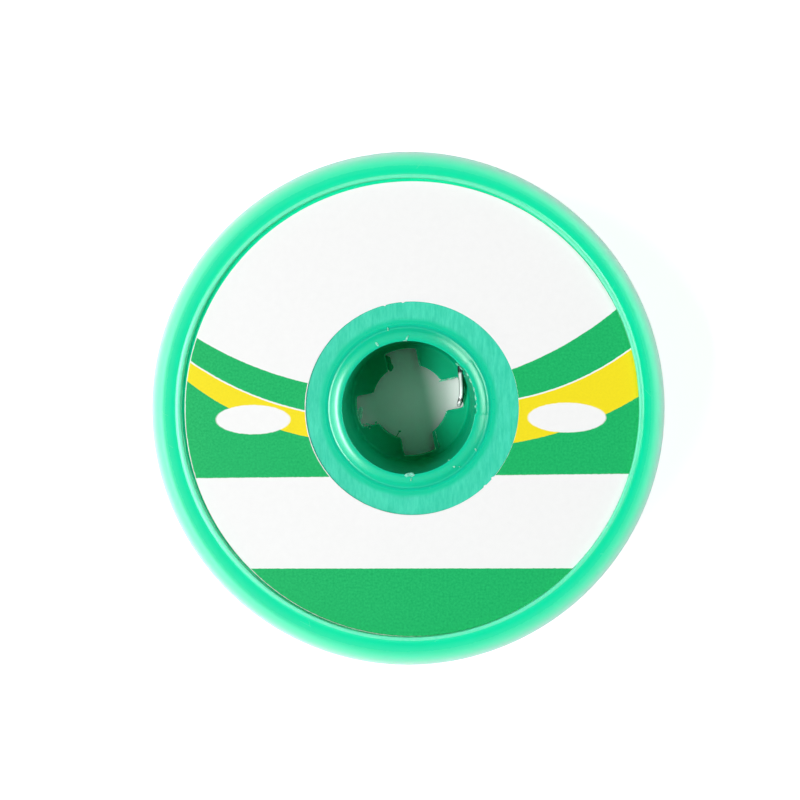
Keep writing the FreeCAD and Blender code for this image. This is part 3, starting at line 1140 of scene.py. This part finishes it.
def wound_layer(bm, sizes, radius, top, end_angle, half_turns, sides, steps):
    """Adds one layer of turns, wound downwards and ending at end_angle.

    One half turn is spun in small steps, and its copies then make the others.
    """
    ring = bmesh.ops.create_circle(bm, radius=sizes.wire_diameter / 2, segments=sides)["verts"]
    stand = Matrix.Translation((radius, 0, top)) @ Matrix.Rotation(math.pi / 2, 4, "X")
    start = Matrix.Rotation(end_angle - half_turns * math.pi, 4, "Z")
    bmesh.ops.transform(bm, matrix=start @ stand, verts=ring)
    edges = list({edge for vert in ring for edge in vert.link_edges})
    before = set(bm.verts)
    drop = sizes.pitch / 2
    spin(bm, ring + edges, math.pi, steps, dvec=(0, 0, -drop / steps))
    half = list(set([vert for vert in bm.verts if vert not in before] + ring))
    half_edges = {edge for vert in half for edge in vert.link_edges}
    half_faces = {face for vert in half for face in vert.link_faces}
    shape = half + list(half_edges) + list(half_faces)
    copies = half_turns - 1
    spin(bm, shape, math.pi * copies, copies, dvec=(0, 0, -drop), use_duplicate=True)
    whole = [vert for vert in bm.verts if vert not in before] + ring
    bmesh.ops.remove_doubles(bm, verts=whole, dist=TINY)
    open_edges = [edge for edge in bm.edges if edge.is_boundary]
    bmesh.ops.holes_fill(bm, edges=open_edges, sides=sides)


def wander_turns(bm, sizes, radius, top):
    """Lets the turns of a layer lie unevenly, up and down and a little less in and out."""
    for vert in bm.verts:
        angle = angle_of(vert.co)
        turns_down = (top - vert.co.z) / sizes.pitch
        spot = Vector((1.3 * math.cos(angle), 1.3 * math.sin(angle), 0.9 * turns_down + sizes.seed))
        vert.co.z += sizes.wander * noise.noise(spot)
        outward = 0.6 * sizes.wander * noise.noise(spot + Vector((9, 4, 1)))
        scale_out(vert, 1 + outward / radius)


class SOLDERREEL_OT_winding(bpy.types.Operator):
    """Wind the wire on the drum: the inner layers and the outer layer"""

    bl_idname = "solderreel.winding"
    bl_label = "Winding"

    def execute(self, context):
        sizes = context.scene.winding_sizes
        nest = 0.85 * sizes.wire_diameter
        radius = TURNS_HIGH.y - sizes.wire_diameter / 2
        top = top_turn_height(sizes)
        bottom = TURNS_LOW.z + sizes.wire_diameter / 2
        half_turns = round(2 * (top - bottom) / sizes.pitch)
        inner = bmesh.new()
        for layer in range(1, sizes.layers):
            layer_radius = radius - layer * nest
            layer_top = top - sizes.pitch / 2 * (layer % 2)
            end = sizes.free_end + layer
            wound_layer(inner, sizes, layer_radius, layer_top, end, half_turns - 1, sides=8, steps=30)
        add_piece("inner_layers", inner, ["wound_solder"], ["wire_inner_layers"], 60.0)
        outer = bmesh.new()
        wound_layer(outer, sizes, radius, top, sizes.free_end, half_turns, sides=14, steps=48)
        wander_turns(outer, sizes, radius, top)
        add_piece("outer_layer", outer, ["wound_solder"], ["wire_outer_layer"], 60.0)
        return {"FINISHED"}


def swept(bm, ring, places):
    """Extrudes a ring of edges through a list of 4x4 places, and returns the last ring."""
    for here, there in zip(places, places[1:]):
        grown = bmesh.ops.extrude_edge_only(bm, edges=ring)["geom"]
        verts = [item for item in grown if isinstance(item, bmesh.types.BMVert)]
        edges = [item for item in grown if isinstance(item, bmesh.types.BMEdge)]
        ring = [edge for edge in edges if edge.verts[0] in verts and edge.verts[1] in verts]
        bmesh.ops.transform(bm, matrix=there @ here.inverted(), verts=verts)
    return ring


def wire_along(bm, places, diameter, sides):
    """Adds a wire along a list of 4x4 places, closed at both ends, and returns its tip's face."""
    ring = bmesh.ops.create_circle(bm, radius=diameter / 2, segments=sides)["verts"]
    bmesh.ops.transform(bm, matrix=places[0], verts=ring)
    first = bm.edges[:]
    last = swept(bm, first, places)
    bmesh.ops.edgeloop_fill(bm, edges=first)
    return bmesh.ops.edgeloop_fill(bm, edges=last)["faces"][0]


def tail_places():
    """Places along the start tail, from inside the drum's wall to the cut tip."""
    lead = Vector((5.78, 6.9, 3.4)) * MM
    leave = Vector((5.79, 4.1, 2.95)) * MM
    leave_handle = Vector((5.8, 3.0, 2.7)) * MM
    tip_handle = Vector((6.3, 0.9, 1.7)) * MM
    tip = Vector((5.64, -0.35, 1.86)) * MM
    straight = [lead.lerp(leave, i / 6) for i in range(6)]
    points = straight + geometry.interpolate_bezier(leave, leave_handle, tip_handle, tip, 40)
    places = []
    side = Vector((1, 0, 0))
    for i, point in enumerate(points):
        after = points[min(i + 1, len(points) - 1)]
        before = points[max(i - 1, 0)]
        heading = (after - before).normalized()
        up = heading.cross(side).normalized()
        across = up.cross(heading)
        place = Matrix((across, up, heading)).transposed().to_4x4()
        place.translation = point
        places.append(place)
    return places


def cut_tip(bm, sizes, face, place):
    """Slants and bevels the tail's tip, sinks the flux core's bore into it and pinches it."""
    slant = Matrix.Rotation(math.radians(-44), 4, "X")
    bevel_width = 0.04 * MM
    bore_depth = 0.5 * MM
    bore_radius = sizes.flux_diameter / 2 + 0.005 * MM
    middle = Matrix.Translation(place.translation)
    bmesh.ops.transform(bm, matrix=middle @ slant @ middle.inverted(), verts=face.verts[:])
    flat_width = sizes.wire_diameter / 2 - bore_radius - bevel_width
    bmesh.ops.inset_region(bm, faces=[face], thickness=bevel_width, depth=0.03 * MM)
    bmesh.ops.inset_region(bm, faces=[face], thickness=flat_width, depth=0.01 * MM)
    inward = -place.to_3x3().col[2] * bore_depth
    deep = bmesh.ops.extrude_discrete_faces(bm, faces=[face])["faces"][0]
    bmesh.ops.translate(bm, verts=deep.verts, vec=inward)
    pinch = place @ Matrix.Diagonal((0.9, 1.06, 1.0, 1.0)) @ place.inverted()
    reach = 0.6 * sizes.wire_diameter
    near = [vert for vert in bm.verts if (vert.co - place.translation).length < reach]
    bmesh.ops.transform(bm, matrix=pinch, verts=near)


class SOLDERREEL_OT_start_tail(bpy.types.Operator):
    """Build the wire's start, which comes out of the hub's wall, and its flux core"""

    bl_idname = "solderreel.start_tail"
    bl_label = "Start Tail"

    def execute(self, context):
        sizes = context.scene.winding_sizes
        places = tail_places()
        wire = bmesh.new()
        tip_face = wire_along(wire, places, sizes.wire_diameter, sides=28)
        cut_tip(wire, sizes, tip_face, places[-1])
        add_piece("start_tail", wire, ["tail_solder"], ["wire_start_tail"], 50.0)
        core = bmesh.new()
        wire_along(core, places[-9:-1], sizes.flux_diameter, sides=12)
        add_piece("flux_core", core, ["amber_flux"], ["tail_flux_core"], 50.0)
        return {"FINISHED"}


class SOLDERREEL_OT_end_tape(bpy.types.Operator):
    """Lay the tape tab over the wire's free end"""

    bl_idname = "solderreel.end_tape"
    bl_label = "End Tape"

    def execute(self, context):
        sizes = context.scene.winding_sizes
        radius = TURNS_HIGH.y + 0.12 * MM
        dip = 0.03 * MM
        top = top_turn_height(sizes)
        rows = 48
        bm = bmesh.new()
        line = []
        for i in range(rows + 1):
            height = TAPE_LOW.z + (TAPE_HIGH.z - TAPE_LOW.z) * i / rows
            between = (1 - math.cos(FULL_TURN * (top - height) / sizes.pitch)) / 2
            line.append(bm.verts.new((radius - dip * between, 0, height)))
        edges = [bm.edges.new(pair) for pair in zip(line, line[1:])]
        start = Matrix.Rotation(sizes.free_end - sizes.tape_before, 3, "Z")
        bmesh.ops.rotate(bm, verts=line, cent=(0, 0, 0), matrix=start)
        spin(bm, line + edges, sizes.tape_span, steps=60)
        bmesh.ops.recalc_face_normals(bm, faces=bm.faces)
        bmesh.ops.solidify(bm, geom=bm.faces[:], thickness=sizes.tape_thickness)
        add_piece("end_tape_tab", bm, ["clear_tape"], ["end_tape"], 40.0)
        return {"FINISHED"}


# Each row is x, y, z and turn, then length, width and height, in millimetres and
# degrees, and 1 where the flake is whitened.
BURRS = [
    (-0.15, 7.42, 14.89, 62, 0.36, 0.09, 0.06, 1),
    (-0.42, 7.13, 14.86, 0, 0.24, 0.06, 0.06, 1),
    (-3.36, 6.74, 14.87, -56, 0.24, 0.11, 0.06, 1),
    (-2.23, 8.36, 14.5, -80, 0.2, 0.07, 0.05, 1),
    (-0.14, -7.2, 14.86, 4, 0.28, 0.2, 0.09, 1),
    (0.28, -7.14, 14.87, -6, 0.36, 0.23, 0.09, 1),
    (0.28, -7.62, 14.86, 78, 0.2, 0.07, 0.05, 1),
    (-5.9, -5.2, 14.7, -50, 0.12, 0.07, 0.06, 1),
    (-6.4, -5.58, 14.5, -50, 0.08, 0.07, 0.05, 1),
    (4.86, -6.31, 14.83, 0, 0.1, 0.09, 0.05, 1),
    (5.42, -6.32, 14.7, 0, 0.06, 0.05, 0.05, 1),
    (4.3, -5.6, 14.84, 30, 0.09, 0.07, 0.05, 1),
    (7.15, -4.5, 14.5, -60, 0.16, 0.08, 0.05, 1),
    (6.3, 3.5, 14.83, 118, 0.2, 0.08, 0.06, 1),
    (6.62, 2.85, 14.83, 112, 0.24, 0.07, 0.06, 1),
    (6.98, 1.95, 14.84, 105, 0.26, 0.08, 0.06, 1),
    (7.14, 1.05, 14.85, 97, 0.3, 0.08, 0.06, 1),
    (7.12, 0.1, 14.86, 88, 0.14, 0.07, 0.06, 1),
    (5.5, 4.4, 5.0, -30, 0.26, 0.14, 0.2, 1),
    (5.86, 4.0, 4.7, -52, 0.3, 0.1, 0.16, 1),
    (6.35, 3.1, 3.9, 60, 0.14, 0.08, 0.25, 1),
    (-5.4, -2.64, 1.5, 20, 0.14, 0.1, 0.09, 1),
    (-4.95, -2.58, 1.52, -8, 0.24, 0.1, 0.09, 1),
    (-4.56, -2.72, 1.53, 30, 0.14, 0.13, 0.09, 1),
    (-4.66, -3.05, 1.51, 50, 0.12, 0.08, 0.06, 1),
    (-4.92, -2.85, 1.51, 70, 0.12, 0.06, 0.05, 1),
    (-3.95, -2.42, 1.5, 60, 0.16, 0.1, 0.07, 1),
    (-5.86, -1.5, 0.8, 80, 1.0, 0.3, 0.06, 1),
    (-6.08, -1.3, 1.35, 78, 0.5, 0.08, 0.09, 1),
    # The next seven rows are whitened strips along the web's notch edges, partly burrs and partly
    # painted highlights where the edges catch the lamp light.
    (3.9, 2.52, 1.53, 12, 0.6, 0.11, 0.12, 1),
    (4.9, 2.74, 1.53, 13, 0.55, 0.1, 0.12, 1),
    (6.3, 1.6, 1.55, 98, 0.75, 0.1, 0.12, 1),
    (6.24, 0.3, 1.55, 85, 0.6, 0.09, 0.12, 1),
    (3.02, -3.75, 1.5, -77, 0.4, 0.05, 0.07, 1),
    (3.28, -4.85, 1.5, -74, 0.6, 0.05, 0.07, 1),
    (1.15, 4.5, 1.5, -76, 0.4, 0.06, 0.08, 1),
    (-2.62, 4.75, 1.1, -75, 0.6, 0.42, 0.36, 0),
    (-2.42, 4.15, 1.08, -60, 0.6, 0.4, 0.36, 0),
    (-1.19, -3.45, 1.0, 0, 0.16, 0.1, 0.1, 0),
    (-1.5, -3.9, 1.0, 60, 0.45, 0.05, 0.05, 0),
]


class SOLDERREEL_OT_burrs(bpy.types.Operator):
    """Add the small burrs and flakes that the moulding and the trimming left, and pale strips on the
    notch edges that are partly painted highlights
    """

    bl_idname = "solderreel.burrs"
    bl_label = "Burrs"

    def execute(self, context):
        bm = bmesh.new()
        for i, (x, y, z, turn, long, wide, high, pale) in enumerate(BURRS):
            blob = bmesh.ops.create_icosphere(bm, subdivisions=3, radius=1.0)["verts"]
            for face in {face for vert in blob for face in vert.link_faces}:
                face.material_index = 1 - pale
            ragged = min(0.7, 0.16 / long)
            for vert in blob:
                vert.co *= 1 + ragged * noise.noise(vert.co * 1.6 + Vector((i, 2 * i, 0)))
            size = Matrix.Diagonal((long * MM, wide * MM, high * MM, 1.0))
            heading = Matrix.Rotation(math.radians(turn), 4, "Z")
            place = Matrix.Translation(Vector((x, y, z)) * MM) @ heading
            bmesh.ops.transform(bm, matrix=place @ size, verts=blob)
        add_piece("moulding_burrs", bm, ["whitened_burr", "reel_bore_painted_shade"], [], 50.0)
        return {"FINISHED"}


class SOLDERREEL_OT_finishes(bpy.types.Operator):
    """Make the materials of the reel, its label and its wire"""

    bl_idname = "solderreel.finishes"
    bl_label = "Finishes"

    def execute(self, context):
        colours = context.scene.finish_colours
        gloss_plastic(colours)
        bore_plastic(colours)
        matte_plastic(colours)
        burr_plastic(colours)
        printed_label(colours, context.scene.label_sizes.margin)
        bare_paper(colours)
        solder_metal("wound_solder", colours, True)
        solder_metal("tail_solder", colours, False)
        amber_flux(colours)
        clear_tape(colours)
        return {"FINISHED"}


def pale_floor():
    """White table top, made brighter for the camera and for reflections.

    Far from the reel it is brightest, and on the right a little brighter than on the
    left. In the bore the lift is slight and is painted light: a painted pool of light
    at the right end, where the left lamp's light falls, and a painted glow at the middle.
    """
    net = new_material("pale_floor")
    place = net.object_place()
    away = net.off_axis(place)
    outside = net.remap(away, 7 * MM, 12 * MM)
    distant = net.remap(away, 0.15, 0.6, 0.57, 1.0)
    # Painted light in the bore: a glow at the middle and a pool of light at the right end.
    bore_glow_middle = net.remap(away, 1 * MM, 6 * MM, 0.055, 0.012)
    painted_light_right = net.remap(net.split(place)[0], 3.5 * MM, 5.5 * MM, to_high=0.12)
    lift = net.scaled(outside, distant, net.larger(bore_glow_middle, painted_light_right))
    rays = net.add("ShaderNodeLightPath").outputs
    seen = net.larger(*[rays[f"Is {kind} Ray"] for kind in ("Camera", "Glossy", "Transmission")])
    diffuse = net.add("ShaderNodeBsdfDiffuse", {"Color": (0.9, 0.9, 0.9, 1.0)})
    strength = net.maths("MULTIPLY", seen, lift)
    glow = net.add("ShaderNodeEmission", {"Color": WHITE, "Strength": strength})
    both = net.add("ShaderNodeAddShader", {0: diffuse.outputs[0], 1: glow.outputs[0]})
    net.add("ShaderNodeOutputMaterial", {"Surface": both.outputs[0]})


def sky_card(net, place, azimuth, height, half_turn, half_height):
    """1 on a soft-edged oval of the sky about an azimuth and a height of 0 to 1."""
    facing = net.add(
        "ShaderNodeVectorRotate",
        {"Vector": place, "Angle": math.radians(-azimuth)},
        rotation_type="Z_AXIS",
    )
    x, y, z = net.split(facing.outputs[0])
    across = net.maths("DIVIDE", net.maths("ARCTAN2", y, x), math.radians(half_turn))
    up = net.maths("DIVIDE", net.maths("SUBTRACT", z, height), half_height)
    share = net.vector("LENGTH", net.add("ShaderNodeCombineXYZ", {0: across, 1: up}).outputs[0])
    return net.remap(share, 0.6, 1.0, 1.0, 0.0)


def diffuse_sky(net, place, settings):
    """Light on matt surfaces: stronger near the horizon and from the sides, weaker from +Y."""
    x, y, z = net.split(place)
    low = net.maths("SUBTRACT", 1.0, z, clamp=True)
    rise = settings.horizon_level - settings.zenith_level
    level = net.scaled(low, rise, settings.zenith_level)
    sideways = net.scaled(net.maths("MULTIPLY", x, x), 1.1, 0.65)
    far_side = net.remap(y, -0.1, 0.4, 1.0, 0.12)
    return net.maths("MULTIPLY", level, net.maths("MULTIPLY", sideways, far_side))


def mirrored_sky(net, place):
    """What reflections see: pale walls, darker low down, and a bright card behind each lamp.

    Overhead is a dark opening, where the camera looks in.
    """
    offset = net.vector("MULTIPLY_ADD", place, (4.3, 4.9, 0.0), (0.05, 0.22, 0.0))
    opening = net.remap(net.vector("LENGTH", offset), 0.9, 1.6, 0.02, 0.85)
    low_down = net.remap(net.split(place)[2], 0.5, 0.76, 0.12, 1.0)
    walls = net.maths("MULTIPLY", opening, low_down)
    left_card = sky_card(net, place, azimuth=194, height=0.62, half_turn=50, half_height=0.32)
    right_card = sky_card(net, place, azimuth=20, height=0.6, half_turn=52, half_height=0.34)
    return net.scaled(right_card, 6.5, net.scaled(left_card, 4.0, walls))


def pale_world(settings):
    """Surroundings for the diffuse light and for reflections. The camera sees plain white."""
    world = bpy.data.worlds.new("pale_surroundings")
    net = empty_net(world)
    place = net.add("ShaderNodeTexCoord").outputs["Generated"]
    rays = net.add("ShaderNodeLightPath").outputs
    in_view = rays["Is Camera Ray"]
    mirrored = net.larger(rays["Is Glossy Ray"], rays["Is Transmission Ray"])
    matt = net.maths("SUBTRACT", net.maths("SUBTRACT", 1.0, in_view), mirrored)
    direct = net.maths("MULTIPLY", diffuse_sky(net, place, settings), matt)
    reflected = net.scaled(mirrored_sky(net, place), mirrored, direct)
    strength = net.maths("ADD", reflected, in_view)
    background = net.add("ShaderNodeBackground", {"Color": WHITE, "Strength": strength})
    net.add("ShaderNodeOutputWorld", {"Surface": background.outputs[0]})
    bpy.context.scene.world = world


def soft_lamp(name, level, azimuth, elevation, width, height):
    """A wide soft lamp that gives the floor a share of white, as its level says."""
    distance = 0.9
    turn = math.radians(azimuth)
    rise = math.radians(elevation)
    level_reach = math.cos(rise)
    back = Vector((math.cos(turn) * level_reach, math.sin(turn) * level_reach, math.sin(rise)))
    lamp = bpy.data.lights.new(name, "AREA")
    lamp.shape = "RECTANGLE"
    lamp.size = width
    lamp.size_y = height
    lamp.energy = level * math.pi ** 2 * distance ** 2 / math.sin(rise)
    holder = bpy.data.objects.new(name, lamp)
    holder.location = back * distance
    holder.rotation_mode = "QUATERNION"
    holder.rotation_quaternion = (-back).to_track_quat("-Z", "Y")
    bpy.context.scene.collection.objects.link(holder)


def add_floor():
    """The table top, a hair under the reel."""
    bm = bmesh.new()
    half_size = 3.0
    drop = 0.01 * MM
    bmesh.ops.create_grid(bm, x_segments=1, y_segments=1, size=half_size)
    bmesh.ops.translate(bm, verts=bm.verts, vec=(0, 0, -drop))
    mesh = bpy.data.meshes.new("floor")
    bm.to_mesh(mesh)
    bm.free()
    mesh.materials.append(bpy.data.materials["pale_floor"])
    floor = bpy.data.objects.new("floor", mesh)
    bpy.context.scene.collection.objects.link(floor)


def add_camera(settings):
    """The camera, whose upright direction in the picture is +Y."""
    lens = bpy.data.cameras.new("camera")
    lens.sensor_width = 36.0
    lens.lens = settings.camera_lens
    lens.shift_x = settings.shift_right
    lens.shift_y = settings.shift_up
    camera = bpy.data.objects.new("camera", lens)
    place = Vector(settings.camera_place)
    back = (place - Vector(settings.camera_aim)).normalized()
    across = Vector((0, 1, 0)).cross(back).normalized()
    turn = Matrix((across, back.cross(across), back)).transposed().to_4x4()
    camera.matrix_world = Matrix.Translation(place) @ turn
    bpy.context.scene.collection.objects.link(camera)
    bpy.context.scene.camera = camera


class SOLDERREEL_OT_stage(bpy.types.Operator):
    """Set up the pale floor, the two soft lamps and the camera"""

    bl_idname = "solderreel.stage"
    bl_label = "Stage"

    def execute(self, context):
        settings = context.scene.stage_settings
        left = settings.left_level
        right = settings.right_level
        pale_floor()
        add_floor()
        pale_world(settings)
        soft_lamp("left_lamp", left, azimuth=192, elevation=55, width=0.6, height=0.15)
        soft_lamp("right_lamp", right, azimuth=26, elevation=48, width=0.63, height=0.18)
        add_camera(settings)
        context.scene.view_settings.view_transform = "Standard"
        return {"FINISHED"}


class SOLDERREEL_PT_sidebar(bpy.types.Panel):
    """Lists the sizes, the colours and the building steps"""

    bl_idname = "SOLDERREEL_PT_sidebar"
    bl_label = "Solder Wire Reel"
    bl_space_type = "VIEW_3D"
    bl_region_type = "UI"
    bl_category = "Solder Reel"

    def draw(self, context):
        layout = self.layout
        for name, group in GROUPS:
            box = layout.box()
            settings = getattr(context.scene, name)
            for field in group.__annotations__:
                box.prop(settings, field)
        for step in STEPS:
            layout.operator(step.bl_idname)


GROUPS = [
    ("reel_sizes", ReelSizes),
    ("label_sizes", LabelSizes),
    ("winding_sizes", WindingSizes),
    ("finish_colours", FinishColours),
    ("stage_settings", StageSettings),
]

STEPS = [
    SOLDERREEL_OT_finishes,
    SOLDERREEL_OT_lower_moulding,
    SOLDERREEL_OT_upper_flange,
    SOLDERREEL_OT_label,
    SOLDERREEL_OT_winding,
    SOLDERREEL_OT_start_tail,
    SOLDERREEL_OT_end_tape,
    SOLDERREEL_OT_burrs,
    SOLDERREEL_OT_stage,
]


def register():
    """Adds the property groups, the operators and the sidebar to Blender."""
    for name, group in GROUPS:
        bpy.utils.register_class(group)
        setattr(bpy.types.Scene, name, PointerProperty(type=group))
    for step in STEPS:
        bpy.utils.register_class(step)
    bpy.utils.register_class(SOLDERREEL_PT_sidebar)


def unregister():
    """Takes them out again, in the opposite order."""
    bpy.utils.unregister_class(SOLDERREEL_PT_sidebar)
    for step in reversed(STEPS):
        bpy.utils.unregister_class(step)
    for name, group in reversed(GROUPS):
        delattr(bpy.types.Scene, name)
        bpy.utils.unregister_class(group)


def main():
    """Registers the add-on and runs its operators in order."""
    register()
    bpy.ops.solderreel.finishes()
    bpy.ops.solderreel.lower_moulding()
    bpy.ops.solderreel.upper_flange()
    bpy.ops.solderreel.label()
    bpy.ops.solderreel.winding()
    bpy.ops.solderreel.start_tail()
    bpy.ops.solderreel.end_tape()
    bpy.ops.solderreel.burrs()
    bpy.ops.solderreel.stage()


if __name__ == "__main__":
    main()
